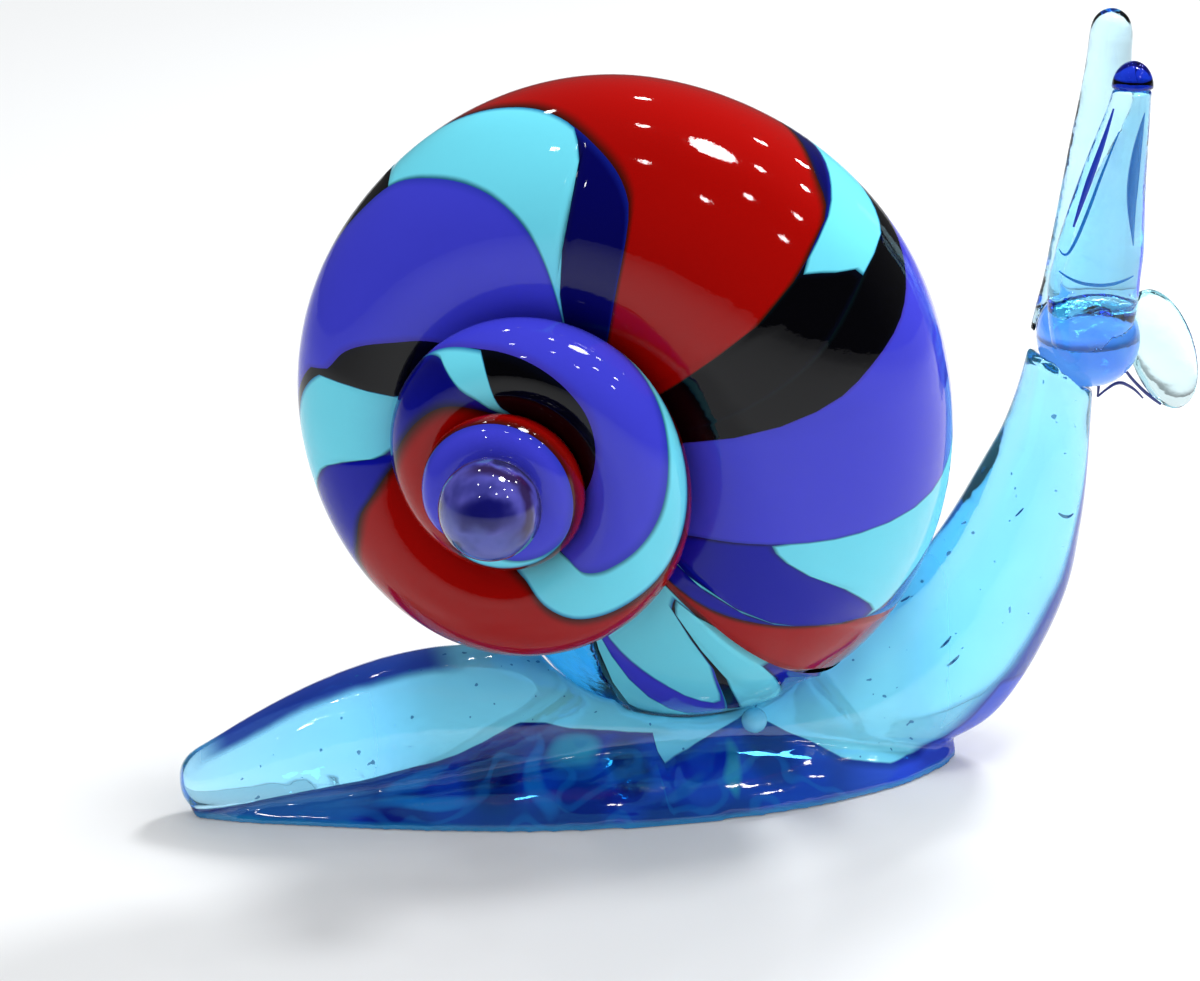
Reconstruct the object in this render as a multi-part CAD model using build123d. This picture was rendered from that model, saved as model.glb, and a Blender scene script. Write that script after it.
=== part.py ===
from build123d import *
import math
import os

# Snail figurine of lamp-worked glass, lying along X with the tail at -X and the
# head at +X, its foot flat on Z = 0 and the origin at the middle of that flat.
# The shell is one twisted striped cane wound on a level axis that points at -Y.
# Every gather of glass is a solid of its own; a fused joint keeps a hair of room.
os.makedirs("parts", exist_ok=True)

# sizes of the body gather
body_reach = 29.5        # origin to the outer edge of the neck, along X
neck_height = 22.2       # ground to where the head rests in the neck
body_width = 9.2         # across Y; the shares of the rings are taken of it
foot_reach = 22.3        # origin to each end of the pressed foot
foot_width = 14.6
foot_thickness = 3.88
sole_cut = 0.4           # taken off the pressed side to leave one flat sole

# sizes of the head, feelers and lip
head_length = 5.7
head_width = 6.9
head_height = 5.6
head_set_back = 0.2      # from the neck's outer edge back to the head's centre
head_rise = 2.5          # from the neck's top up to the head's centre
near_feeler_length = 14.5
near_feeler_width = 5.3  # at its foot, along X
near_feeler_lean = 1.2   # how far its tip leads its foot
far_feeler_length = 18.3
far_feeler_width = 3.9
far_feeler_lean = 1.25
feeler_depth = 3.5       # across Y, at the foot
feeler_spacing = 3.8     # between the middles of the two feelers, across Y
tip_radius = 1.16        # cobalt button on the near feeler
tip_height = 1.5
lip_length = 7.6
lip_width = 3.8
lip_thickness = 1.5
lip_lead = 4.5           # centre of the lip in front of the head's centre
lip_drop = 1.0
lip_tilt_angle = 22.0

# sizes of the shell
shell_x = -4.61          # where the winding axis crosses the middle of the coil
shell_y = -8.86
shell_z = 22.67
axis_turn_angle = 29.93  # degrees, the apex is turned from -Y towards the tail
axis_dip_angle = 4.4     # degrees, the apex looks down
cane_radius = 9.63       # the cane where it meets the foot
winding_depth = 14.06    # along the axis, from the middle of the coil to the last station
first_turn_radius = 3.89 # centre line of the cane at the end of its first turn
nose_share = 0.97        # how far the cane's start closes
mouth_seal_share = 0.96  # radius of the mouth seal, as a share of the cane's end
mouth_seal_depth = 7.0
bead_radius = 2.62
bead_lead = 8.6          # bead centre in front of the middle of the coil
bead_side = 0.91         # its place across the axis, towards +X
bead_up = 0.4

# drop of glass at the joint of shell and foot
weld_radius = 0.72
weld_x = 9.0
weld_out = 4.27          # towards -Y
weld_z = 4.72

# room left at the fused joints
joint_gap = 0.03
seat_gap = 0.05
saddle_gap = 0.12

# angles and counts of the winding, in degrees round the axis
table_start_angle = -880.0
cane_start_angle = -870.0
nose_end_angle = -810.0  # the cane's rounded start is full size here
first_turn_end_angle = -460.0
cane_end_angle = 177.0
station_step_angle = 60.0
saddle_run_angle = 200.0 # how much of the cane's end lies in the body's saddle
saddle_past_angle = 1.0  # how far the saddle runs on past the cane's end
sections_per_turn = 24
body_ring_count = 46
foot_ring_count = 30
feeler_ring_count = 24
third_share = 0.7698     # pull that makes a smooth third of an oval


# helpers
def ease(places, values, place):
    """Value of a smooth curve without overshoot through a table."""
    last = len(places) - 1
    slopes = [(values[i + 1] - values[i]) / (places[i + 1] - places[i]) for i in range(last)]
    grades = [slopes[0]]
    for i in range(1, last):
        both = slopes[i - 1] * slopes[i]
        grades.append(2 * both / (slopes[i - 1] + slopes[i]) if both > 0 else 0)
    grades.append(slopes[-1])
    k = 0
    while k < last - 1 and place > places[k + 1]:
        k += 1
    width = places[k + 1] - places[k]
    t = (place - places[k]) / width
    start = (1 + 2 * t) * (1 - t) ** 2 * values[k] + t * (1 - t) ** 2 * width * grades[k]
    end = t * t * (3 - 2 * t) * values[k + 1] + t * t * (t - 1) * width * grades[k + 1]
    return start + end


def biggest(shape):
    """The largest solid of a shape."""
    return sorted(shape.solids(), key=lambda solid: solid.volume)[-1]


def spread(rows, count):
    """Rows of a table filled in smoothly to a larger count."""
    places = list(range(len(rows)))
    columns = list(zip(*rows))
    marks = [places[-1] * k / (count - 1) for k in range(count)]
    return [tuple(ease(places, column, mark) for column in columns) for mark in marks]


def oval(plane, half_width, half_depth):
    """Closed smooth oval on a plane, made of three arcs that start at its belly."""
    arcs = []
    for k in range(3):
        ends = []
        for angle, way in ((120 * k - 90, 1), (120 * k + 30, -1)):
            x = half_width * math.cos(math.radians(angle))
            y = half_depth * math.sin(math.radians(angle))
            pull_x = -way * third_share * half_width * math.sin(math.radians(angle))
            pull_y = way * third_share * half_depth * math.cos(math.radians(angle))
            ends.append(plane.from_local_coords((x, y, 0)))
            ends.append(plane.from_local_coords((x + pull_x, y + pull_y, 0)))
        arcs.append(Edge.make_bezier(ends[0], ends[1], ends[3], ends[2]))
    return Wire(arcs)


def dome(radius, height):
    """Upper half of a ball that is stretched to a height."""
    ball = scale(Sphere(radius), by=(1, 1, height / radius))
    return biggest(ball - Pos(0, 0, -height) * Box(radius * 4, radius * 4, height * 2))


# body: one gather from the tail's tip to the top of the neck
# each row holds back edge (x, z), belly edge (x, z) and width, as shares
body_shares = [
    (-0.774, 0.125, -0.774, 0.062, 0.145),
    (-0.757, 0.158, -0.757, 0.030, 0.29),
    (-0.700, 0.200, -0.700, 0.018, 0.42),
    (-0.600, 0.270, -0.600, 0.016, 0.55),
    (-0.480, 0.337, -0.480, 0.016, 0.66),
    (-0.360, 0.379, -0.360, 0.016, 0.76),
    (-0.260, 0.393, -0.260, 0.016, 0.82),
    (-0.180, 0.392, -0.180, 0.016, 0.84),
    (-0.100, 0.380, -0.100, 0.016, 0.84),
    (0.010, 0.360, 0.010, 0.016, 0.83),
    (0.120, 0.335, 0.125, 0.016, 0.82),
    (0.230, 0.310, 0.245, 0.016, 0.81),
    (0.340, 0.300, 0.380, 0.016, 0.81),
    (0.460, 0.320, 0.530, 0.018, 0.81),
    (0.565, 0.390, 0.680, 0.030, 0.80),
    (0.652, 0.508, 0.806, 0.090, 0.77),
    (0.727, 0.640, 0.915, 0.280, 0.71),
    (0.787, 0.775, 0.976, 0.495, 0.66),
    (0.838, 0.900, 0.997, 0.735, 0.60),
    (0.862, 1.000, 1.003, 0.930, 0.48),
    (0.876, 1.085, 1.006, 1.040, 0.43),
]
body_rings = []
for back_x, back_z, belly_x, belly_z, width_share in spread(body_shares, body_ring_count):
    back = Vector(back_x * body_reach, 0, back_z * neck_height)
    belly = Vector(belly_x * body_reach, 0, belly_z * neck_height)
    across = back - belly
    ring_plane = Plane(origin=(back + belly) / 2, x_dir=(0, -1, 0), z_dir=(across.Z, 0, -across.X))
    body_rings.append(oval(ring_plane, width_share * body_width / 2, across.length / 2))
rod = Solid.make_loft(body_rings)

# foot: the lower side of the same gather, pressed wide and flat
# each row holds the place along X, the width and the thickness, as shares
foot_shares = [
    (-1.00, 0.12, 0.17), (-0.86, 0.32, 0.29), (-0.64, 0.55, 0.45), (-0.41, 0.76, 0.65),
    (-0.18, 0.92, 0.88), (0.05, 1.00, 1.00), (0.28, 1.00, 1.00), (0.49, 0.93, 0.97),
    (0.67, 0.79, 0.80), (0.83, 0.58, 0.56), (0.95, 0.31, 0.32), (1.00, 0.12, 0.17),
]
foot_rings = []
for place_share, width_share, thickness_share in spread(foot_shares, foot_ring_count):
    half = width_share * foot_width / 2
    thick = thickness_share * foot_thickness + sole_cut
    rim = EllipticalCenterArc((0, 0), half, thick, 0, arc_size=180)
    ring = make_face([rim, Line((-half, 0), (half, 0))])
    ring_plane = Plane(origin=(place_share * foot_reach, 0, -sole_cut), x_dir=(0, 1, 0), z_dir=(1, 0, 0))
    foot_rings.append(ring_plane * ring)
foot = loft(foot_rings) - Pos(0, 0, -sole_cut) * Box(foot_reach * 3, foot_width * 2, sole_cut * 2)

# head: a ball let down into the soft top of the neck
head_centre = Vector(body_reach - head_set_back, 0, neck_height + head_rise)
head_stretch = (1, head_width / head_length, head_height / head_length)
head = Pos(head_centre) * scale(Sphere(head_length / 2), by=head_stretch)
head_room = Pos(head_centre) * scale(Sphere(head_length / 2 + seat_gap), by=head_stretch)


# feelers: two drawn-out rods that stand on the head
def feeler(side, length, width, lean, shares):
    """One feeler as rounded rings; side is -1 for the near one and 1 for the far one."""
    rings = []
    for rise_share, lean_share, width_share, depth_share in spread(shares, feeler_ring_count):
        middle = head_centre + Vector(lean_share * lean, side * feeler_spacing / 2, rise_share * length)
        rings.append(oval(Plane(middle), width_share * width / 2, depth_share * feeler_depth / 2))
    return Solid.make_loft(rings)


# each row holds the rise, the lean, the width and the depth, as shares
near_shares = [
    (0.00, -0.45, 0.84, 0.90), (0.12, -0.44, 0.95, 0.98), (0.24, -0.42, 1.00, 1.00),
    (0.36, -0.24, 0.97, 0.97), (0.48, -0.07, 0.88, 0.92), (0.60, 0.14, 0.77, 0.86),
    (0.72, 0.39, 0.66, 0.79), (0.84, 0.67, 0.54, 0.72), (0.94, 0.90, 0.44, 0.66), (1.00, 1.00, 0.40, 0.62),
]
far_shares = [
    (0.00, -0.62, 1.00, 0.90), (0.08, -0.36, 1.00, 0.97), (0.16, -0.12, 0.97, 1.00), (0.30, 0.15, 0.93, 0.96),
    (0.44, 0.39, 0.88, 0.92), (0.58, 0.61, 0.82, 0.87), (0.72, 0.81, 0.72, 0.80), (0.84, 0.95, 0.65, 0.74),
    (0.925, 1.00, 0.61, 0.70), (0.965, 1.00, 0.52, 0.60), (0.99, 1.00, 0.32, 0.37), (1.00, 1.00, 0.12, 0.14),
]
near_rod = feeler(-1, near_feeler_length, near_feeler_width, near_feeler_lean, near_shares)
far_rod = feeler(1, far_feeler_length, far_feeler_width, far_feeler_lean, far_shares)
near_feeler = biggest(near_rod - head_room)
far_feeler = biggest(far_rod - head_room)

# cobalt button melted on the near feeler's end
tip_base = head_centre + Vector(near_feeler_lean, -feeler_spacing / 2, near_feeler_length + seat_gap)
feeler_tip = Pos(tip_base) * dome(tip_radius, tip_height)

# lip: a leaf of glass pressed against the front of the head
lip_centre = head_centre + Vector(lip_lead, 0, -lip_drop)
lip_leaf = Pos(lip_centre) * Rot(0, -lip_tilt_angle, 0) * scale(
    Sphere(lip_length / 2), by=(lip_width / lip_length, lip_thickness / lip_length, 1))
lip = biggest(lip_leaf - head_room)

# winding frame: local Z runs along the axis from the apex into the shell, local X points up
turn = math.radians(axis_turn_angle)
dip = math.radians(axis_dip_angle)
apex_way = Vector(-math.sin(turn) * math.cos(dip), -math.cos(turn) * math.cos(dip), -math.sin(dip))
coil_up = (Vector(0, 0, 1) - apex_way * Vector(0, 0, 1).dot(apex_way)).normalized()
coil_side = coil_up.cross(apex_way)
coil_middle = Vector(shell_x, shell_y, shell_z)
coil_twist_angle = 5.9         # degrees between the stations' zero and straight up

# radius of the cane and depth of its centre line at each station, as shares
cane_radius_shares = [0.133, 0.145, 0.158, 0.172, 0.189, 0.212, 0.238, 0.258, 0.272, 0.283, 0.291, 0.328,
                      0.390, 0.463, 0.625, 0.830, 0.936, 0.976, 1.0]
cane_depth_shares = [-0.446, -0.417, -0.380, -0.336, -0.292, -0.245, -0.196, -0.162, -0.140, -0.113, -0.074,
                     -0.027, 0.046, 0.181, 0.370, 0.553, 0.682, 0.809, 1.0]
first_turn_shares = [0.576, 0.596, 0.596, 0.596, 0.596, 0.663, 0.816, 1.0]
stations = [table_start_angle + station_step_angle * i for i in range(len(cane_radius_shares))]


def cane_size(angle):
    """Radius of the cane at an angle of the winding."""
    return cane_radius * ease(stations, cane_radius_shares, angle)


def cane_depth(angle):
    """Depth of the cane's centre line along the axis."""
    return winding_depth * ease(stations, cane_depth_shares, angle)


def cane_reach(angle):
    """Distance of the centre line from the axis; each turn lies on the one before it."""
    inner = angle - 360
    if angle <= first_turn_end_angle:
        return first_turn_radius * ease(stations[:8], first_turn_shares, angle)
    touch = cane_size(angle) + cane_size(inner) + joint_gap
    step = cane_depth(angle) - cane_depth(inner)
    return cane_reach(inner) + math.sqrt(touch ** 2 - step ** 2)


def cane_girth(angle):
    """Radius as drawn: the cane's size with its start rounded off."""
    short = max(0, (nose_end_angle - angle) / (nose_end_angle - cane_start_angle))
    return cane_size(angle) * math.sqrt(1 - (nose_share * short) ** 2)


def cane_plane(angle):
    """Plane of one section: X points away from the axis, Y to the apex, Z along the cane."""
    phase = math.radians(angle - coil_twist_angle)
    outward = coil_up * math.cos(phase) + coil_side * math.sin(phase)
    onward = coil_side * math.cos(phase) - coil_up * math.sin(phase)
    middle = coil_middle + outward * cane_reach(angle) - apex_way * cane_depth(angle)
    return Plane(origin=middle, x_dir=outward, z_dir=onward)


cane_run_angle = cane_end_angle - cane_start_angle
section_count = round(cane_run_angle / 360 * sections_per_turn)
angles = [cane_start_angle + cane_run_angle * i / section_count for i in range(section_count + 1)]


def cane_rod(angles, room):
    """The cane along a run of angles, thicker all round by a room."""
    rings = []
    for angle in angles:
        plane = cane_plane(angle)
        radius = cane_girth(angle) + room
        rings.append(Wire([Edge.make_circle(radius, plane, 120 * k, 120 * (k + 1)) for k in range(3)]))
    return Solid.make_loft(rings)


# cane: one unbroken rod, each turn against the one before it
shell_cane = cane_rod(angles, 0)

# mouth seal: a clear dome on the end of the cane, against the tail
mouth = cane_plane(cane_end_angle).offset(joint_gap)
seal_radius = mouth_seal_share * cane_size(cane_end_angle)
mouth_seal = mouth * dome(seal_radius, mouth_seal_depth)

# body: rod and foot in one, with a seat for the head and a saddle for the end of the cane
saddle_angles = [angle for angle in angles if angle >= cane_end_angle - saddle_run_angle]
saddle = cane_rod(saddle_angles + [cane_end_angle + saddle_past_angle], saddle_gap)
seal_room_depth = mouth_seal_depth + joint_gap + saddle_gap
seal_room = cane_plane(cane_end_angle) * dome(seal_radius + saddle_gap, seal_room_depth)
weld_place = Pos(weld_x, -weld_out, weld_z)
weld_room = weld_place * Sphere(weld_radius + joint_gap)
body = biggest(rod + foot - head_room - saddle - seal_room - weld_room)

# apex bead: a ball set on the first turn
bead_centre = coil_middle + coil_up * bead_up + coil_side * bead_side + apex_way * bead_lead
apex_bead = Pos(bead_centre) * Sphere(bead_radius)

# weld bead: a drop of glass at the near side of the joint of shell and foot
weld_bead = weld_place * Sphere(weld_radius)

nodes = {
    "body": body,
    "head": head,
    "near_feeler": near_feeler,
    "far_feeler": far_feeler,
    "feeler_tip": feeler_tip,
    "lip": lip,
    "shell_cane": shell_cane,
    "mouth_seal": mouth_seal,
    "apex_bead": apex_bead,
    "weld_bead": weld_bead,
}
for name, shape in nodes.items():
    export_step(shape, f"parts/{name}.step")
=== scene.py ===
import math

import bmesh
import bpy
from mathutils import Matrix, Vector


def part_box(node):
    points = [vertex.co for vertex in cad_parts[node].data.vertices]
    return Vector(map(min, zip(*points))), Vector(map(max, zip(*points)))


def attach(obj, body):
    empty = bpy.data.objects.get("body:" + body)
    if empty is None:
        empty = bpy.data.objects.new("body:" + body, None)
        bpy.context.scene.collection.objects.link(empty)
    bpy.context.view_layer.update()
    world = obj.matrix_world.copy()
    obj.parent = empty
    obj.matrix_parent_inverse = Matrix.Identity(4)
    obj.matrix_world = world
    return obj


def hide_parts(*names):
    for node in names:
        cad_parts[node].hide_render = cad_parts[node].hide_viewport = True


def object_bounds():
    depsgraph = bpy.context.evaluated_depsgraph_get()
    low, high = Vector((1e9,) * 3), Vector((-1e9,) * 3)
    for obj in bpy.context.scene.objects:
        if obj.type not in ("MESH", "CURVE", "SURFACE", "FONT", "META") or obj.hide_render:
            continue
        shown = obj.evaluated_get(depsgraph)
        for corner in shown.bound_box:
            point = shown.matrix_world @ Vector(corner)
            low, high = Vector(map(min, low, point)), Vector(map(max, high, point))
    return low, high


bl_info = {
    "name": "Lamp-worked glass snail",
    "version": (1, 0, 0),
    "blender": (4, 5, 0),
    "location": "View3D > Sidebar > Glass snail",
    "description": "Dresses the snail figurine in clear blue glass and a shell of striped cane",
    "category": "Object",
}

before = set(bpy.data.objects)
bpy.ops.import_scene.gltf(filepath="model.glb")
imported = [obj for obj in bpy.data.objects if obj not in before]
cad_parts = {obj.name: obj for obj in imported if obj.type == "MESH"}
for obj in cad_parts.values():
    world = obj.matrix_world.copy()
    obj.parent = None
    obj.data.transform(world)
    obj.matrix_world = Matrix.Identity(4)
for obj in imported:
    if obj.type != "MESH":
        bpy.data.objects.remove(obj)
cad_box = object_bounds()
# a millimetre in the scene's metres
MM = 0.001
# points closer than this are made one, in metres: in a CAD node, and on the cane
NODE_WELD, CANE_WELD = 1e-6, 2e-7
GLASS_IOR = 1.5
WHITE = (1.0, 1.0, 1.0)
# how strongly smoke and specks change a stripe's colour
GRAIN = 0.10
# smoothing passes of the melted pieces, and of the foot's thin rim
PASSES = {"body": 14, "near_feeler": 10, "far_feeler": 10, "feeler_tip": 6, "lip": 8, "mouth_seal": 10}
RIM_PASSES = 16


# sizes and colours that a user would change
class GlassSizes(bpy.types.PropertyGroup):
    melt_step: bpy.props.FloatProperty(
        name="Melt step",
        description="Grid that the gathers are melted smooth on",
        default=0.00022,
        unit="LENGTH",
    )
    feeler_step: bpy.props.FloatProperty(
        name="Feeler step",
        description="Grid that the feelers are melted smooth on",
        default=0.00012,
        unit="LENGTH",
    )
    button_step: bpy.props.FloatProperty(
        name="Button step",
        description="Grid that the cobalt button is melted smooth on",
        default=0.00008,
        unit="LENGTH",
    )
    lip_step: bpy.props.FloatProperty(
        name="Lip step",
        description="Grid that the lip is melted smooth on",
        default=0.00009,
        unit="LENGTH",
    )
    turns_columns: bpy.props.IntProperty(
        name="Cane columns",
        description="Divisions along the wound cane",
        default=700,
    )
    rim_height: bpy.props.FloatProperty(
        name="Rim height",
        description="Height up to which the foot's thin rim is evened",
        default=0.0008,
        unit="LENGTH",
    )
    fringe: bpy.props.FloatProperty(
        name="Stripe fringe",
        description="How far one stripe's colour bleeds at its edge",
        default=0.0006,
        unit="LENGTH",
    )


class GlassColours(bpy.types.PropertyGroup):
    aqua: bpy.props.FloatVectorProperty(
        name="Aqua stripe",
        description="Light blue stripe",
        subtype="COLOR",
        size=3,
        default=(0.17, 0.77, 1.0),
    )
    cobalt: bpy.props.FloatVectorProperty(
        name="Cobalt stripe",
        description="Dark blue stripe",
        subtype="COLOR",
        size=3,
        default=(0.004, 0.007, 0.38),
    )
    purple: bpy.props.FloatVectorProperty(
        name="Purple stripe",
        description="Violet blue stripe",
        subtype="COLOR",
        size=3,
        default=(0.052, 0.055, 0.66),
    )
    red: bpy.props.FloatVectorProperty(
        name="Red stripe",
        description="Opaque red stripe",
        subtype="COLOR",
        size=3,
        default=(0.36, 0.002, 0.001),
    )
    black: bpy.props.FloatVectorProperty(
        name="Black stripe",
        description="Opaque black stripe",
        subtype="COLOR",
        size=3,
        default=(0.0008, 0.0008, 0.002),
    )
    red_loss: bpy.props.FloatProperty(
        name="Red loss",
        description="Red light that the aqua glass takes, for each metre",
        default=200.0,
    )
    green_loss: bpy.props.FloatProperty(
        name="Green loss",
        description="Green light that the aqua glass takes, for each metre",
        default=52.0,
    )
    blue_loss: bpy.props.FloatProperty(
        name="Blue loss",
        description="Blue light that the aqua glass takes, for each metre",
        default=2.0,
    )


class StudioSizes(bpy.types.PropertyGroup):
    table_reach: bpy.props.FloatProperty(
        name="Table reach",
        description="From the middle of the table to its sides",
        default=3.0,
        unit="LENGTH",
    )
    table_gap: bpy.props.FloatProperty(
        name="Table gap",
        description="How far the table's top lies under the sole",
        default=0.00002,
        unit="LENGTH",
    )
    lens: bpy.props.FloatProperty(
        name="Lens",
        description="Focal length of the camera, in millimetres",
        default=100.0,
        unit="CAMERA",
    )
    lamp_power: bpy.props.FloatProperty(
        name="Small lamp",
        description="Power of each small round lamp, in watts",
        default=0.048,
        unit="POWER",
    )
    box_power: bpy.props.FloatProperty(
        name="Soft box",
        description="Power of the soft box overhead, in watts",
        default=0.42,
        unit="POWER",
    )
    back_power: bpy.props.FloatProperty(
        name="Back lamp",
        description="Power of the lamp that throws the shadow forward, in watts",
        default=0.72,
        unit="POWER",
    )


# one socket of a material, so that sums of shader values read as plain arithmetic
class Line:
    def __init__(self, recipe, socket):
        self.recipe, self.socket = recipe, socket

    def sum(self, operation, first, second):
        return self.recipe.add("ShaderNodeMath", {"operation": operation}, first, second)

    def __add__(self, other):
        return self.sum("ADD", self, other)

    def __radd__(self, other):
        return self.sum("ADD", other, self)

    def __sub__(self, other):
        return self.sum("SUBTRACT", self, other)

    def __rsub__(self, other):
        return self.sum("SUBTRACT", other, self)

    def __mul__(self, other):
        return self.sum("MULTIPLY", self, other)

    def __truediv__(self, other):
        return self.sum("DIVIDE", self, other)

    def __pow__(self, other):
        return self.sum("POWER", self, other)

    def least(self, other):
        return self.sum("MINIMUM", self, other)

    def most(self, other):
        return self.sum("MAXIMUM", self, other)

    def fade(self, start, end):
        """0 before start, 1 after end, smooth between."""
        return self.recipe.add("ShaderNodeMapRange", {"interpolation_type": "SMOOTHSTEP"},
                               self, **{"From Min": start, "From Max": end})


class Recipe:
    """The nodes of one material or of the world."""

    def __init__(self, owner):
        owner.use_nodes = True
        self.tree = owner.node_tree
        self.tree.nodes.clear()

    def set(self, socket, value):
        """Links a value to a socket, or writes it there as a constant."""
        if isinstance(value, Line):
            self.tree.links.new(value.socket, socket)
        elif hasattr(socket.default_value, "__len__") and len(socket.default_value) == 4 and len(value) == 3:
            socket.default_value = (*value, 1.0)
        else:
            socket.default_value = value

    def add(self, kind, settings=None, *values, out=0, **named):
        """A node with its settings and the values of its sockets, by order or by name; gives one output."""
        node = self.tree.nodes.new(kind)
        for key, value in (settings or {}).items():
            if key == "stops":
                ramp = node.color_ramp
                while len(ramp.elements) < len(value):
                    ramp.elements.new(0.5)
                for element, (place, colour) in zip(ramp.elements, value):
                    element.position = place
                    element.color = (*colour, 1.0)
            else:
                setattr(node, key, value)
        for index, value in enumerate(values):
            self.set(node.inputs[index], value)
        for name, value in named.items():
            self.set(node.inputs[name], value)
        return Line(self, node.outputs[out])

    def mix(self, share, first, second):
        """Colour between two colours."""
        node = self.tree.nodes.new("ShaderNodeMix")
        node.data_type = "RGBA"
        self.set(node.inputs["Factor"], share)
        colours = [socket for socket in node.inputs if socket.type == "RGBA"]
        self.set(colours[0], first)
        self.set(colours[1], second)
        return Line(self, [socket for socket in node.outputs if socket.type == "RGBA"][0])

    def place(self):
        """Object coordinates in millimetres, as three values."""
        spot = self.add("ShaderNodeTexCoord", out="Object")
        grown = self.add("ShaderNodeVectorMath", {"operation": "SCALE"}, spot, Scale=1 / MM)
        return grown, self.parts(grown)

    def parts(self, vector):
        """The three values of a vector."""
        node = self.tree.nodes.new("ShaderNodeSeparateXYZ")
        self.set(node.inputs[0], vector)
        return [Line(self, socket) for socket in node.outputs]

    def outside(self):
        """1 where a ray meets the glass from outside, 0 where it leaves the glass."""
        return 1 - self.add("ShaderNodeNewGeometry", out="Backfacing")

    def rays(self, kind):
        """1 for the rays of one kind, 0 for the rest."""
        return self.add("ShaderNodeLightPath", out=f"Is {kind} Ray")

    def slant(self, blend=0.5):
        """0 where the surface faces the eye, 1 where it turns away."""
        return self.add("ShaderNodeLayerWeight", None, out="Facing", Blend=blend)

    def cloud(self, spot, size, detail):
        """Soft noise with patches of about a size in millimetres."""
        return self.add("ShaderNodeTexNoise", None, spot, Scale=1.0 / size, Detail=detail, Roughness=0.5)

    def bump(self, height, strength, reach):
        """Normal of a skin with waves; reach is their height in metres."""
        return self.add("ShaderNodeBump", None, Strength=strength, Distance=reach, Height=height)

    def shell(self, **values):
        """The main shader and its output."""
        self.finish(self.add("ShaderNodeBsdfPrincipled", None, **values))

    def finish(self, surface, kind="ShaderNodeOutputMaterial"):
        """Puts the last shader on the output."""
        self.output = self.tree.nodes.new(kind)
        self.set(self.output.inputs["Surface"], surface)

    def absorb(self, loss):
        """Plain loss of light inside the glass, for red, green and blue, for each metre."""
        most = max(loss)
        colour = tuple(1 - part / most for part in loss)
        volume = self.add("ShaderNodeVolumeAbsorption", None, Color=colour, Density=most)
        self.set(self.output.inputs["Volume"], volume)


def body_loss(share=1.0):
    """Loss of light in the aqua glass, or a share of it in a paler glass."""
    c = bpy.context.scene.glass_colours
    return tuple(share * loss for loss in (c.red_loss, c.green_loss, c.blue_loss))


def clear_glass(name, tint, deep, loss, wave, rim=(0.30, 0.48, 0.95)):
    """Transparent glass that gets bluer where it is thick, with the flow marks of the flame on its skin and a
    rim colour of painted shade at its outline.
    """
    material = bpy.data.materials.new(name)
    recipe = Recipe(material)
    grown = recipe.place()[0]
    flow = recipe.cloud(grown, 2.6, 2.0)
    streak = recipe.cloud(grown, 0.7, 3.0)
    # painted shade: the rim colour tints the outline, where the surface turns from the eye
    edge = (recipe.slant() * recipe.outside()).fade(0.84, 0.98)
    recipe.shell(**{
        "Base Color": recipe.mix(edge, recipe.mix(flow.fade(0.35, 0.75), tint, deep), rim),
        "Roughness": 0.012,
        "IOR": GLASS_IOR,
        "Transmission Weight": 1.0,
        "Normal": recipe.bump(flow * 0.8 + streak * 0.2, wave, 0.00025),
    })
    recipe.absorb(loss)
    return material


# top of the deep blue pool in the foot, painted shade for the shadowed table seen through the glass: pairs of
# the place along X and the height, in millimetres
SHADE_POOL_TOP = [
    (-24, 0.4), (-20, 1.0), (-16.4, 1.8), (-13.1, 2.4), (-8.0, 3.8), (-5.7, 4.9), (-4.3, 5.5),
    (-2.9, 5.4), (-1.3, 4.9), (0.8, 4.6), (3.3, 4.3), (3.6, 2.8), (5.2, 3.2), (8.9, 4.9), (11.2, 3.6),
    (14.1, 2.1), (17.2, 1.3), (19.2, 1.4), (20.8, 2.0), (22.2, 3.2), (24.0, 5.4),
]
# upper edge of the tail, along which a dark band of painted shade runs
TAIL_TOP = [
    (-24, 2.0), (-21.4, 4.1), (-18.8, 5.45), (-16.0, 6.85), (-13.1, 7.85), (-10.4, 8.45), (-8.7, 8.7),
    (-6.0, 8.6),
]
# front edge of the neck: pairs of the height and the place along X
NECK_FRONT = [
    (0.0, 18.0), (0.7, 20.0), (2.0, 23.6), (6.2, 26.9), (11.0, 28.7), (16.3, 29.35), (20.6, 29.55),
]
# width of the band of painted shade along the neck's front: pairs of the height and the width
NECK_SHADE_WIDTHS = [(0.0, 3.8), (4.0, 3.5), (8.0, 2.2), (13.0, 1.2), (18.0, 0.6), (24.0, 0.25)]
# places and values of a table run from minus this to plus this
TABLE_REACH = 30.0
# painted light and painted shade in the pool, bright patches and dark patches: middle along X and Z, half
# width, half height, lean, colour and strength
POOL_LIGHT_AND_SHADE = [
    (-16.5, 1.0, 4.6, 0.8, 0.05, (0.02, 0.16, 0.52), 0.8),
    (-10.2, 2.2, 1.7, 0.45, 0.45, (0.008, 0.16, 0.62), 0.9),
    (-9.6, 1.3, 2.6, 0.30, 0.10, (0.006, 0.20, 0.66), 0.8),
    (-5.9, 2.8, 1.9, 1.9, 0.10, (0.0005, 0.004, 0.15), 1.0),
    (-3.4, 2.6, 0.45, 1.9, -0.10, (0.006, 0.15, 0.60), 0.9),
    (-1.2, 3.6, 1.6, 0.85, 0.05, (0.03, 0.36, 0.62), 0.95),
    (1.9, 2.9, 1.2, 1.5, 0.0, (0.0005, 0.004, 0.15), 1.0),
    (4.6, 1.9, 1.3, 0.40, 0.55, (0.006, 0.10, 0.46), 0.8),
    (7.5, 2.4, 0.55, 1.2, -0.30, (0.02, 0.28, 0.46), 0.9),
    (10.0, 3.0, 1.6, 1.5, -0.20, (0.0008, 0.006, 0.20), 0.9),
]


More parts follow.
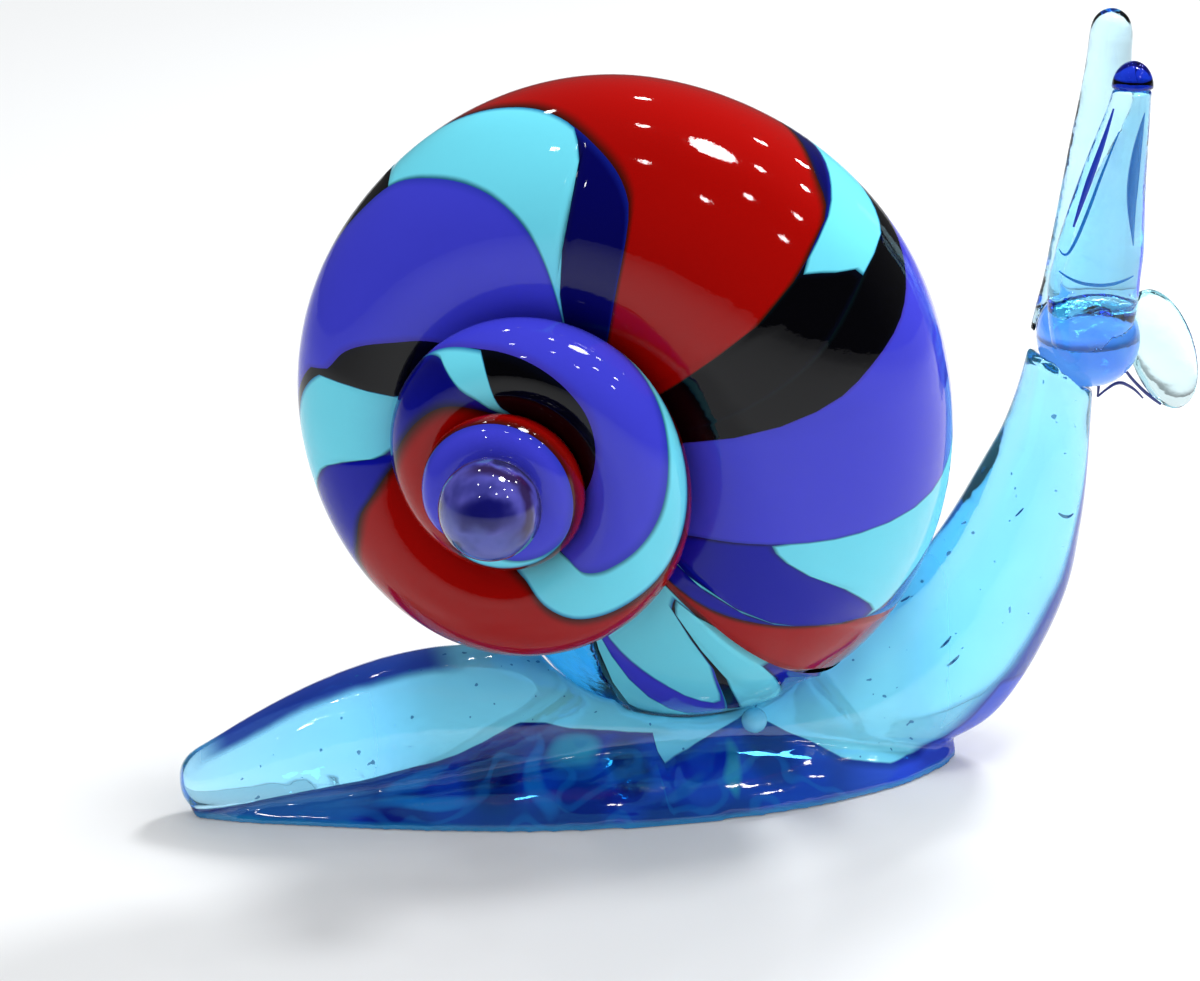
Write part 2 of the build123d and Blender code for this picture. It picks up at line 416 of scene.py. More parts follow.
def along(recipe, place, table):
    """Value in millimetres at a place, read from a table of pairs."""
    stops = [((spot + TABLE_REACH) / (2 * TABLE_REACH), (value / TABLE_REACH,) * 3) for spot, value in table]
    ramp = recipe.add("ShaderNodeValToRGB", {"stops": stops}, (place + TABLE_REACH) / (2 * TABLE_REACH))
    return ramp * TABLE_REACH


def body_glass():
    """Aqua glass of the body, with a deep blue pool of painted shade and painted light in its foot, and dark
    bands of painted shade on the tail and the neck.
    """
    material = bpy.data.materials.new("aqua_body_glass")
    recipe = Recipe(material)
    grown, (x, _, z) = recipe.place()
    outside = recipe.outside()
    flow = recipe.cloud(grown, 3.4, 1.0)
    blob = recipe.cloud(grown, 4.2, 0.0)
    vein = recipe.cloud(grown, 2.6, 2.0)
    seeds = recipe.cloud(grown, 0.42, 0.0).fade(0.80, 0.83)

    # how far below the upper edge of the pool of painted shade, in millimetres
    below = along(recipe, x, SHADE_POOL_TOP) - z + (vein - 0.5) * 0.25
    # pool of painted shade: 1 under its upper edge, 0 above it
    shade_pool = below.fade(-0.05, 0.07)
    # painted light: bright streaks that follow the pool's upper edge
    painted_streaks = recipe.add("ShaderNodeMath", {"operation": "SINE"}, below * 2.6 + flow * 16.0) * 0.5 + 0.5

    # painted shade: dark bands along the tail's ridge and the neck's front
    ridge_shade = (z - along(recipe, x, TAIL_TOP) + (vein - 0.5) * 0.15).fade(-0.75, -0.30)
    ridge_shade = ridge_shade * (1 - x.fade(-9.0, -6.5)) * x.fade(-22.5, -20.0)
    # painted shade along the neck's front
    front = ((x - along(recipe, z, NECK_FRONT)) / along(recipe, z, NECK_SHADE_WIDTHS)).fade(-1.1, -0.6)
    dark = ridge_shade.most(front * x.fade(15.0, 18.0)) * outside

    # clear glass, bluer at its outline: painted shade where the surface turns from the eye, and darker on the
    # bands of painted shade
    inner = 1 - (recipe.slant() * outside).fade(0.84, 0.98)
    tint = recipe.mix(inner, (0.20, 0.36, 0.92), (0.80, 0.91, 0.98))
    tint = recipe.mix(dark * 0.9, tint, (0.02, 0.05, 0.45))
    clear = recipe.add("ShaderNodeBsdfPrincipled", None, **{
        "Base Color": tint,
        "Roughness": 0.01,
        "IOR": GLASS_IOR,
        "Transmission Weight": 1.0,
        "Normal": recipe.bump(flow * 0.7 + blob * 0.3, 0.22, 0.0003),
    })

    # colour of the pool of painted shade, with painted light in it: bright patches, light streaks and a
    # bright rim at the sole, and painted shade in dark patches and along its upper edge
    deep = recipe.mix(blob.fade(0.38, 0.62), (0.0008, 0.010, 0.24), (0.002, 0.030, 0.50))
    across = x + (flow - 0.5) * 2.4
    up = z + (blob - 0.5) * 1.2
    # bright patches of painted light and dark patches of painted shade
    for middle, height, wide, high, lean, glow, strength in POOL_LIGHT_AND_SHADE:
        side = (across - middle) / wide
        rise = (up - height - (across - middle) * lean) / high
        deep = recipe.mix((1 - (side * side + rise * rise).fade(0.15, 1.5)) * strength, deep, glow)
    deep = recipe.mix(painted_streaks.fade(0.80, 1.0) * below.fade(0.3, 1.2) * 0.35, deep, (0.006, 0.16, 0.56))
    deep = recipe.mix(x.fade(11.0, 18.0) * 0.80, deep, (0.032, 0.085, 0.72))
    # painted shade along the pool's upper edge
    deep = recipe.mix((1 - below.fade(0.05, 0.45)) * 0.7, deep, (0.001, 0.006, 0.18))
    # painted light along the sole
    deep = recipe.mix((1 - (z + (vein - 0.5) * 0.3).fade(0.20, 0.55)) * 0.7, deep, (0.01, 0.30, 0.62))

    # milky glass over the rest, with painted light that makes it palest under the shell, and painted shade on
    # the dark bands
    covered = x.fade(-14.0, -8.0) * (1 - z.fade(11.0, 15.0)) * (1 - x.fade(17.0, 22.0))
    milk = recipe.mix(flow.fade(0.3, 0.7), (0.10, 0.54, 0.84), (0.14, 0.68, 0.96))
    # painted light: paler under the shell
    milk = recipe.mix(covered * 0.75, milk, (0.26, 0.86, 1.0))
    milk = recipe.mix(dark * 0.95, milk, (0.008, 0.02, 0.34))
    milk = recipe.mix(seeds * 0.8, milk, (0.01, 0.12, 0.36))
    paint = recipe.add("ShaderNodeBsdfPrincipled", None, **{
        "Base Color": recipe.mix(shade_pool, milk, deep),
        "Roughness": 0.06,
        "IOR": GLASS_IOR,
        "Coat Weight": 0.5 - dark * 0.5,
        "Coat Roughness": 0.02,
        "Normal": recipe.bump(blob * 0.7 + vein * 0.3, 0.5, 0.0006),
    })
    slant = recipe.slant().fade(0.45, 0.85) * (1 - shade_pool)
    share = (shade_pool * 0.65 + covered * 0.52 + dark * 0.62 + slant * 0.35 + seeds * 0.5 + 0.28).least(0.93)
    recipe.finish(recipe.add("ShaderNodeMixShader", None, share * outside, clear, paint))
    recipe.absorb(body_loss())
    return material


def stripe_glass(name, colour, near_edge, far_edge, fringe=1.0, high=None):
    """Glossy glass of one stripe; it bleeds into other colours at its two edges, may be deeper high up, and
    is painted pale at its outline, painted light standing in for the real clear casing over the cane.
    """
    reach = bpy.context.scene.glass_sizes.fringe / MM * fringe + 0.1
    material = bpy.data.materials.new(name)
    recipe = Recipe(material)
    grown, (_, _, z) = recipe.place()
    from_start, from_end, _ = recipe.parts(recipe.add("ShaderNodeUVMap", {"uv_map": "stripe"}))
    smoke = recipe.cloud(grown, 3.5, 3.0)
    speck = recipe.cloud(grown, 0.35, 2.0)
    darker = tuple(part * 0.80 for part in colour)
    lighter = tuple(min(1.0, part * 1.10) for part in colour)
    shade = recipe.mix((smoke * 0.75 + speck * 0.25 - 0.5) * 2.0 * GRAIN + 0.5, darker, lighter)
    if high:
        shade = recipe.mix(z.fade(22.0, 31.0), shade, high)
    shade = recipe.mix(1 - (from_start + smoke * 0.2).fade(0.05, reach), shade, near_edge)
    shade = recipe.mix(1 - (from_end + smoke * 0.2).fade(0.05, reach), shade, far_edge)
    # painted light: a pale rim where the surface turns from the eye, for the clear casing over the cane,
    # which is real
    shade = recipe.mix(recipe.slant(0.35).fade(0.84, 1.0) * 0.45, shade, (0.50, 0.60, 0.95))
    recipe.shell(**{
        "Base Color": shade,
        "Roughness": 0.04,
        "IOR": GLASS_IOR,
        "Specular IOR Level": 0.25,
        "Coat Weight": 0.12,
        "Coat Roughness": 0.02,
        "Normal": recipe.bump(smoke * 0.85 + speck * 0.15, 0.10, 0.00025),
    })
    return material


def even_glass(name, colour):
    """The same glossy glass in one colour, for drawn threads and small drops."""
    return stripe_glass(name, colour, colour, colour)


# the bead's right and up as the camera sees it, square to the way from the bead to the camera
BEAD_WAY = Vector((-0.20, -0.93, 0.30)).normalized()
BEAD_RIGHT = Vector((0, 0, 1)).cross(BEAD_WAY).normalized()
BEAD_UP = BEAD_WAY.cross(BEAD_RIGHT)


def bead_glass():
    """Lilac glass of the apex bead, with a navy heart, a dark swirl round it and a dark outline of painted
    shade.
    """
    material = bpy.data.materials.new("apex_bead_glass")
    recipe = Recipe(material)
    grown = recipe.place()[0]
    low, high = (Vector(corner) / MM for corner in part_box("apex_bead"))
    radius = (high.x - low.x) / 2
    spot = recipe.add("ShaderNodeVectorMath", {"operation": "SUBTRACT"}, grown, tuple((low + high) / 2))
    smoke = recipe.cloud(grown, 1.6, 2.0)

    def reach(way):
        """Place along a direction, in radii of the bead, a little disturbed."""
        straight = recipe.add(
            "ShaderNodeVectorMath", {"operation": "DOT_PRODUCT"}, spot, tuple(way / radius), out="Value")
        return straight + (smoke - 0.5) * 0.5

    side, up = reach(BEAD_RIGHT), reach(BEAD_UP)
    ring = (side * side + up * up) ** 0.5
    heart = 1 - ((side + 0.06) ** 2 * 4.5 + (up + 0.10) ** 2 * 16.0).fade(0.3, 2.4)
    swirl = ring.fade(0.62, 0.76) * (1 - ring.fade(0.82, 0.93))
    swirl = swirl * (side * 0.9 + up * 0.6 + 0.1).fade(-0.1, 0.5)
    shade = recipe.mix(smoke.fade(0.35, 0.65), (0.045, 0.045, 0.28), (0.10, 0.095, 0.48))
    # bluer and paler towards the lower left, as the camera sees it
    shade = recipe.mix((up + side * 0.4 + 0.55).fade(0.0, 0.4) * 0.5 + 0.5, (0.09, 0.13, 0.40), shade)
    shade = recipe.mix(heart * 0.95, shade, (0.003, 0.003, 0.12))
    shade = recipe.mix(swirl * 0.85, shade, (0.02, 0.004, 0.03))
    # painted shade along the bead's outline as the camera sees it
    shade = recipe.mix(ring.fade(0.90, 1.0) * 0.8, shade, (0.01, 0.008, 0.03))
    recipe.shell(**{
        "Base Color": shade,
        "Roughness": 0.03,
        "IOR": GLASS_IOR,
        "Specular IOR Level": 0.35,
        "Coat Weight": 0.3,
        "Coat Roughness": 0.02,
        "Normal": recipe.bump(smoke, 0.05, 0.0002),
    })
    return material


# meshes
def show(name, mesh, materials, nodes=()):
    """Puts a finished mesh into the scene as a piece of the object."""
    piece = bpy.data.objects.new(name, mesh)
    bpy.context.scene.collection.objects.link(piece)
    for material in materials:
        mesh.materials.append(material)
    for polygon in mesh.polygons:
        polygon.use_smooth = True
    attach(piece, "root")
    if nodes:
        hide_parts(*nodes)


def merged_copy(node):
    """One closed mesh with the shape of a CAD node."""
    made = bmesh.new()
    made.from_mesh(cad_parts[node].data)
    bmesh.ops.remove_doubles(made, verts=made.verts, dist=NODE_WELD)
    mesh = bpy.data.meshes.new(node + "_copy")
    made.to_mesh(mesh)
    made.free()
    return mesh


def melted(node, step, rim=0.0):
    """The shape of a CAD node with its creases melted soft and its rim on the table evened up to a height."""
    blank = bpy.data.objects.new(node + "_blank", merged_copy(node))
    bpy.context.scene.collection.objects.link(blank)
    grid = blank.modifiers.new("grid", "REMESH")
    grid.mode = "VOXEL"
    grid.voxel_size = step
    soften = blank.modifiers.new("soften", "SMOOTH")
    soften.factor = 0.5
    soften.iterations = PASSES[node]
    mesh = bpy.data.meshes.new_from_object(blank.evaluated_get(bpy.context.evaluated_depsgraph_get()))
    bpy.data.objects.remove(blank)
    sole = cad_box[0][2]
    made = bmesh.new()
    made.from_mesh(mesh)
    low = [vertex for vertex in made.verts if vertex.co.z < rim]
    for _ in range(RIM_PASSES if low else 0):
        bmesh.ops.smooth_vert(made, verts=low, factor=0.5, use_axis_x=True, use_axis_y=True)
    for vertex in made.verts:
        vertex.co.z = max(vertex.co.z, sole)
    made.to_mesh(mesh)
    made.free()
    return mesh


def ball(node):
    """A fine ball that fills the box of a CAD node."""
    low, high = (Vector(corner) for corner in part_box(node))
    made = bmesh.new()
    bmesh.ops.create_icosphere(made, subdivisions=5, radius=1.0)
    bmesh.ops.scale(made, verts=made.verts, vec=(high - low) / 2)
    bmesh.ops.translate(made, verts=made.verts, vec=(low + high) / 2)
    mesh = bpy.data.meshes.new(node + "_ball")
    made.to_mesh(mesh)
    made.free()
    return mesh


def threads(name, lines):
    """Thin drawn rods of glass; each line is a list of (x, y, z, thickness) in millimetres."""
    curve = bpy.data.curves.new(name + "_line", "CURVE")
    curve.dimensions = "3D"
    curve.bevel_depth = 0.5 * MM
    curve.bevel_resolution = 4
    curve.resolution_u = 12
    curve.use_fill_caps = True
    for points in lines:
        spline = curve.splines.new("NURBS")
        spline.points.add(len(points) - 1)
        for point, (x, y, z, thick) in zip(spline.points, points):
            point.co = (x * MM, y * MM, z * MM, 1.0)
            point.radius = thick
        spline.order_u = 3
        spline.use_endpoint_u = True
    blank = bpy.data.objects.new(name + "_blank", curve)
    bpy.context.scene.collection.objects.link(blank)
    mesh = bpy.data.meshes.new_from_object(blank.evaluated_get(bpy.context.evaluated_depsgraph_get()))
    bpy.data.objects.remove(blank)
    return mesh


# winding of the shell cane, in millimetres and degrees
SHELL_MIDDLE = Vector((-4.61, -8.86, 22.67))
AXIS_TURN, AXIS_DIP, COIL_TWIST = math.radians(29.93), math.radians(4.4), 5.9
APEX_WAY = Vector((-math.sin(AXIS_TURN) * math.cos(AXIS_DIP), -math.cos(AXIS_TURN) * math.cos(AXIS_DIP),
                   -math.sin(AXIS_DIP)))
COIL_UP = (Vector((0, 0, 1)) - APEX_WAY * APEX_WAY.z).normalized()
COIL_SIDE = COIL_UP.cross(APEX_WAY)
# stations along the winding, the cane's radius and depth at each of them, and its reach in the first turn
STATIONS = [-880.0 + 60.0 * i for i in range(19)]
MOUTH_RADIUS, MOUTH_DEPTH, TURN_REACH = 9.63, 14.06, 3.89
CANE_RADII = [MOUTH_RADIUS * share for share in (
    0.133, 0.145, 0.158, 0.172, 0.189, 0.212, 0.238, 0.258, 0.272, 0.283,
    0.291, 0.328, 0.390, 0.463, 0.625, 0.830, 0.936, 0.976, 1.0,
)]
CANE_DEPTHS = [MOUTH_DEPTH * share for share in (
    -0.446, -0.417, -0.380, -0.336, -0.292, -0.245, -0.196, -0.162, -0.140, -0.113,
    -0.074, -0.027, 0.046, 0.181, 0.370, 0.553, 0.682, 0.809, 1.0,
)]
FIRST_TURN = [TURN_REACH * share for share in (0.576, 0.596, 0.596, 0.596, 0.596, 0.663, 0.816, 1.0)]
CANE_START, NOSE_END, FIRST_TURN_END, CANE_END = -870.0, -810.0, -460.0, 177.0
# room between a turn and the one inside it, and the least share of its radius that the cane keeps at its nose
TURN_GAP, TIP_SHARE = 0.03, 0.01


def ease(table, place):
    """Value of a smooth curve without overshoot through (place, value) pairs."""
    places, values = zip(*table)
    last = len(table) - 1
    slopes = [(values[i + 1] - values[i]) / (places[i + 1] - places[i]) for i in range(last)]
    k = 0
    while k < last - 1 and place > places[k + 1]:
        k += 1

    def grade(i):
        if i in (0, last):
            return slopes[min(i, last - 1)]
        both = slopes[i - 1] * slopes[i]
        return 2 * both / (slopes[i - 1] + slopes[i]) if both > 0 else 0

    width = places[k + 1] - places[k]
    t = (place - places[k]) / width
    start = (1 + 2 * t) * (1 - t) ** 2 * values[k] + t * (1 - t) ** 2 * width * grade(k)
    end = t * t * (3 - 2 * t) * values[k + 1] + t * t * (t - 1) * width * grade(k + 1)
    return start + end


def cane_size(angle):
    """Radius of the cane at an angle of the winding."""
    return ease(list(zip(STATIONS, CANE_RADII)), angle)


def cane_depth(angle):
    """How far the cane's middle lies behind the shell's middle, away from the apex."""
    return ease(list(zip(STATIONS, CANE_DEPTHS)), angle)


def cane_reach(angle):
    """How far the cane's middle lies from the axis, where each turn rests on the one inside it."""
    if angle <= FIRST_TURN_END:
        return ease(list(zip(STATIONS, FIRST_TURN)), angle)
    inner = angle - 360
    touch = cane_size(angle) + cane_size(inner) + TURN_GAP
    step = cane_depth(angle) - cane_depth(inner)
    return cane_reach(inner) + math.sqrt(touch ** 2 - step ** 2)


# where each band of colour starts on the cane: pairs of the angle along the winding and the angle round the
# cane, in degrees; the bands lie below each other in this order, and the next round starts 360 degrees lower
RED_START = [
    (-870, 20), (-820, 25), (-600, 30), (-520, 45), (-492, 75), (-470, 130), (-450, 170), (-400, 250),
    (-300, 340), (-246, 373), (-217, 405), (-199, 429), (-189, 452), (-179, 481), (-110, 560), (-40, 700),
    (-3, 736), (5, 744), (16, 760), (27, 779), (35, 816), (70, 930), (110, 1050), (124, 1080),
    (126, 1121), (131, 1144), (137, 1165), (141, 1185), (146, 1205), (160, 1250), (180, 1300),
]
RED_END = [
    (-870, -130), (-820, -125), (-600, -110), (-500, -60), (-450, 30), (-422, 64), (-411, 73), (-391, 88),
    (-370, 114), (-330, 170), (-240, 260), (-170, 340), (-120, 406), (-113, 426), (-106, 441),
    (-100, 457), (-60, 520), (0, 620), (40, 700), (50, 729), (55, 740), (58, 757), (60, 766), (61, 775),
    (63, 785), (66, 815), (90, 930), (120, 1020), (131, 1065), (135, 1086), (138, 1100), (140, 1140),
    (141, 1173), (146, 1190), (160, 1230), (180, 1285),
]
AQUA_START = [
    (-870, -150), (-600, -130), (-500, -90), (-400, 0), (-383, 36), (-380, 61), (-376, 84), (-368, 103),
    (-361, 119), (-300, 190), (-200, 290), (-110, 375), (-93, 415), (-90, 430), (-87, 467), (-40, 530),
    (20, 640), (45, 700), (53, 729), (55.5, 740), (58.3, 757), (60, 765), (62, 759), (64, 752),
    (65.6, 742),
]
PLUM_START = [
    (141, 1172), (146, 1167.8), (147, 1147.5), (150, 1136.5), (155, 1121), (158, 1129), (160, 1138),
    (168, 1162), (172, 1177), (180, 1200),
]
PLUM_END = [
    (141, 1172), (146, 1167.5), (147, 1147.2), (150, 1134.8), (155, 1116), (158, 1106), (160, 1102),
    (163, 1112), (166, 1132), (170, 1160), (174, 1180), (180, 1199),
]
BLACK_START = [
    (-870, -170), (-600, -150), (-500, -110), (-400, 0), (-365, 45), (-363, 47), (-361, 64), (-359, 83),
    (-357, 101), (-353, 118), (-300, 180), (-200, 280), (-100, 370), (-67, 419), (-65, 439), (-62, 470),
    (-30, 520), (20, 610), (50, 690), (63, 722), (64.5, 732), (65.6, 742), (75, 780), (89, 850),
    (120, 970), (131, 1050), (135, 1086), (138, 1100), (140, 1140), (141, 1172), (146, 1167), (147, 1147),
    (150, 1134.5), (155, 1114.5), (160, 1098), (180, 1065),
]
MOUTH_LINE = [
    (140, 1140), (141, 1171), (146, 1164.5), (147, 1141), (150, 1127), (155, 1105), (160, 1087),
    (180, 1053),
]
PURPLE_START = [
    (-870, -235), (-600, -200), (-500, -140), (-400, 0), (-365, 44), (-355, 51), (-337, 62), (-320, 72),
    (-304, 82), (-260, 130), (-180, 250), (-110, 350), (-67, 410), (-64, 425), (-57, 433), (-44, 455),
    (-34, 469), (0, 540), (40, 650), (69, 720), (75, 738), (80, 760), (83, 773), (86, 796), (89, 826),
    (110, 900), (131, 1000), (135, 1086), (138, 1100), *MOUTH_LINE,
]
# the two thin bands below the purple one share most of their edges
THIN_INNER = [
    (-870, -340), (-820, -335), (-600, -330), (-500, -260), (-400, -110), (-302, -8), (-275, 25),
    (-251, 51), (-230, 78), (-213, 102), (-208, 123),
]
THIN_MIDDLE = [
    (-27, 388), (-15, 403), (-1, 422), (8, 438), (14, 453), (40, 540), (70, 640), (95, 700), (103, 725),
    (105, 734), (110, 769), (115, 796),
]
SLIVER_START = [
    *THIN_INNER, (-160, 230), (-100, 320), (-75, 362), (-50, 375), (-35, 384), *THIN_MIDDLE, (121, 819),
    (126, 830), (131, 850), (135, 1086), (138, 1100), *MOUTH_LINE,
]
NARROW_START = [
    *THIN_INNER, (-160, 210), (-100, 280), (-28, 365), *THIN_MIDDLE, (117, 793), (119, 780), (120, 766),
    (124, 747), (126, 761), (131, 790), (137, 900), (139.9, 1137), *MOUTH_LINE,
]
LAST_START = [
    (-870, -340), (-820, -335), (-600, -330), (-520, -315), (-492, -285), (-450, -190), (-400, -110),
    (-300, -20), (-246, 13), (-217, 45), (-199, 69), (-189, 92), (-179, 121), (-110, 200), (-40, 340),
    (-3, 376), (5, 384), (13, 396), (14, 401), (16, 413), (17.5, 456), (40, 520), (70, 590), (110, 700),
    (120, 735), (124, 745), (126, 761), (131, 788), (137, 880), (139.9, 1130), (140, 1137), (141, 1127),
    (148, 1102), (160, 1070), (180, 1035),
]


# angles of the winding at which a band runs out or another takes its place
COBALT_COMES, COBALT_GONE, AQUA_GONE, PLUM_COMES, MOUTH_RIM = -27.0, 59.5, 65.6, 141.0, 175.4
# towards the mouth the stripes lie further along: where that starts, over how many degrees, and by how many
MOUTH_NEAR, MOUTH_RUN, MOUTH_SHIFT = 112.0, 20.0, 3.5


def band_starts(angle):
    """Start of every band at an angle of the winding, from the top one down, closed by the next round."""
    share = min(max((angle - MOUTH_NEAR) / MOUTH_RUN, 0), 1)
    angle -= MOUTH_SHIFT * share * share * (3 - 2 * share)
    red, red_end, black = ease(RED_START, angle), ease(RED_END, angle), ease(BLACK_START, angle)
    aqua = ease(AQUA_START, angle) if angle < AQUA_GONE else black
    plum, plum_end = black, black
    if angle > PLUM_COMES:
        aqua, plum, plum_end = red_end, ease(PLUM_START, angle), ease(PLUM_END, angle)
    sliver, narrow = ease(SLIVER_START, angle), ease(NARROW_START, angle)
    rows = [red, red_end, red_end if angle > COBALT_GONE else aqua, aqua, plum, plum_end, black,
            ease(PURPLE_START, angle), sliver, sliver if angle > COBALT_COMES else narrow, narrow,
            ease(LAST_START, angle), red - 360]
    for i in range(1, len(rows)):
        rows[i] = max(min(rows[i], rows[i - 1]), rows[-1])
    return rows


# colour of every band, the rows of faces it gets, and the order of the paints on the mesh
BANDS = [
    "red", "cobalt", "black", "aqua", "purple", "aqua",
    "black", "purple", "black", "cobalt", "aqua", "cobalt",
]
BAND_ROWS = [22, 10, 6, 12, 8, 6, 14, 22, 6, 10, 12, 10]
PAINTS = ["red", "cobalt", "aqua", "black", "purple"]


def cane_mesh(columns):
    """The whole wound cane; its rows of faces follow the stripes, so that each one ends on a clean line."""
    row_count = sum(BAND_ROWS)
    made = bmesh.new()
    bmesh.ops.create_grid(made, x_segments=columns, y_segments=row_count, size=0.5)
    marks = [(band, share / count) for band, count in enumerate(BAND_ROWS) for share in range(count)]
    marks.append((len(BAND_ROWS) - 1, 1.0))
    spots = made.loops.layers.uv.new("stripe")
    stations = []
    for column in range(columns + 1):
        angle = CANE_START + (CANE_END - CANE_START) * column / columns
        starts = band_starts(angle)
        short = max(0.0, (NOSE_END - angle) / (NOSE_END - CANE_START))
        girth = cane_size(angle) * math.sqrt(max(1 - short ** 2, TIP_SHARE ** 2))
        phase = math.radians(angle - COIL_TWIST)
        outward = COIL_UP * math.cos(phase) + COIL_SIDE * math.sin(phase)
        middle = SHELL_MIDDLE + outward * cane_reach(angle) - APEX_WAY * cane_depth(angle)
        stations.append((starts, girth, outward, middle))
    where = {}
    for vertex in made.verts:
        where[vertex.index] = (round((vertex.co.x + 0.5) * columns), round((vertex.co.y + 0.5) * row_count))
    for face in made.faces:
        rows = [where[loop.vert.index][1] for loop in face.loops]
        band = marks[min(rows)][0]
        first = min(where[loop.vert.index][0] for loop in face.loops)
        rim = CANE_START + (CANE_END - CANE_START) * first / columns > MOUTH_RIM
        face.material_index = PAINTS.index("black" if rim else BANDS[band])
        for loop in face.loops:
            column, row = where[loop.vert.index]
            starts, girth = stations[column][:2]
            share = 1.0 if marks[row][0] != band else marks[row][1]
            width = math.radians(starts[band] - starts[band + 1]) * girth
            loop[spots].uv = (share * width, (1 - share) * width)
    for vertex in made.verts:
        column, row = where[vertex.index]
        starts, girth, outward, middle = stations[column]
        band, share = marks[row]
        turn = math.radians(starts[band] + (starts[band + 1] - starts[band]) * share)
        vertex.co = (middle + (outward * math.cos(turn) + APEX_WAY * math.sin(turn)) * girth) * MM
    bmesh.ops.remove_doubles(made, verts=made.verts, dist=CANE_WELD)
    loose = [edge for edge in made.edges if edge.is_boundary]
    bmesh.ops.holes_fill(made, edges=loose, sides=0)
    bmesh.ops.recalc_face_normals(made, faces=made.faces)
    mesh = bpy.data.meshes.new("shell_cane_stripes")
    made.to_mesh(mesh)
    made.free()
    return mesh


# threads drawn into the near feeler and under the lip: points of (x, y, z, thickness) in millimetres
COBALT_THREAD = [
    (29.2, -2.6, 38.3, 0.10), (28.75, -2.7, 36.8, 0.26), (28.2, -2.75, 35.2, 0.36),
    (27.7, -2.75, 33.7, 0.36), (27.15, -2.7, 31.8, 0.12),
]
SKY_THREADS = [
    [(29.6, -2.6, 37.0, 0.06), (28.8, -2.65, 35.0, 0.14), (28.05, -2.7, 32.8, 0.18), (27.4, -2.6, 30.9, 0.18),
     (26.9, -2.4, 29.9, 0.14), (26.7, -2.0, 30.4, 0.06)],
    [(30.9, -2.5, 38.0, 0.05), (30.6, -2.6, 36.5, 0.45), (30.35, -2.7, 34.3, 0.70), (30.3, -2.75, 32.5, 0.50),
     (30.5, -2.8, 30.6, 0.05)],
    [(26.7, -2.2, 29.2, 0.08), (27.2, -2.7, 28.75, 0.16), (28.5, -3.1, 28.5, 0.20), (29.8, -3.05, 28.6, 0.18),
     (30.6, -2.7, 28.9, 0.08)],
]
LIP_THREADS = [
    [(29.6, -0.3, 22.4, 0.6), (30.0, -0.2, 22.2, 0.25), (30.1, 0.0, 21.6, 0.16), (30.05, 0.0, 21.1, 0.12)],
    [(30.05, 0.0, 21.1, 0.12), (30.7, 0.0, 21.65, 0.16), (31.3, -0.1, 21.95, 0.22), (31.9, 0.0, 21.65, 0.18),
     (32.4, 0.0, 21.3, 0.15), (32.8, 0.0, 20.85, 0.10)],
    [(31.2, -0.2, 23.1, 0.2), (31.7, -0.1, 22.5, 0.18), (32.1, 0.0, 22.0, 0.18), (33.1, 0.0, 21.0, 0.22),
     (33.9, 0.0, 20.45, 0.2)],
]
LIP_DROP = [[(30.25, -0.2, 23.0, 1.5), (30.4, -0.1, 22.5, 1.3), (30.45, 0.0, 22.1, 0.5)]]
# dashes caught in the neck's skin
DASHES = [
    [(20.15, -3.2, 7.8, 0.10), (20.5, -3.35, 8.15, 0.26), (20.75, -3.1, 8.4, 0.08)],
    [(20.5, -3.4, 6.75, 0.10), (20.9, -3.55, 7.05, 0.26), (21.2, -3.3, 7.3, 0.08)],
    [(24.45, -2.75, 15.2, 0.06), (24.7, -2.8, 15.45, 0.16), (24.9, -2.75, 15.65, 0.06)],
    [(18.3, -1.3, 10.05, 0.08), (18.6, -1.4, 10.2, 0.18), (18.8, -1.35, 10.35, 0.06)],
    [(27.0, -2.6, 15.2, 0.10), (27.5, -2.7, 14.75, 0.30), (28.0, -2.4, 15.0, 0.10)],
]


class SNAIL_OT_body(bpy.types.Operator):
    """Body gather with its pressed foot, melted smooth, and the drop at the joint of shell and foot"""
    bl_idname = "snail.body"
    bl_label = "Body"

    def execute(self, context):
        s = context.scene.glass_sizes
        gather = melted("body", s.melt_step, s.rim_height)
        show("body_gather", gather, [body_glass()], ["body"])
        drop = even_glass("drop_glass", (0.22, 0.70, 1.0))
        show("weld_drop", ball("weld_bead"), [drop], ["weld_bead"])
        speck = even_glass("dash_glass", (0.01, 0.10, 0.30))
        show("neck_dashes", threads("dashes", DASHES), [speck])
        return {"FINISHED"}


# light that the cobalt button and the lip take for each metre, and the tint of the lip's outline, painted
# shade where it turns from the eye
BUTTON_LOSS = (900.0, 700.0, 100.0)
LIP_LOSS = (80.0, 12.0, 1.0)
LIP_RIM = (0.35, 0.42, 0.70)


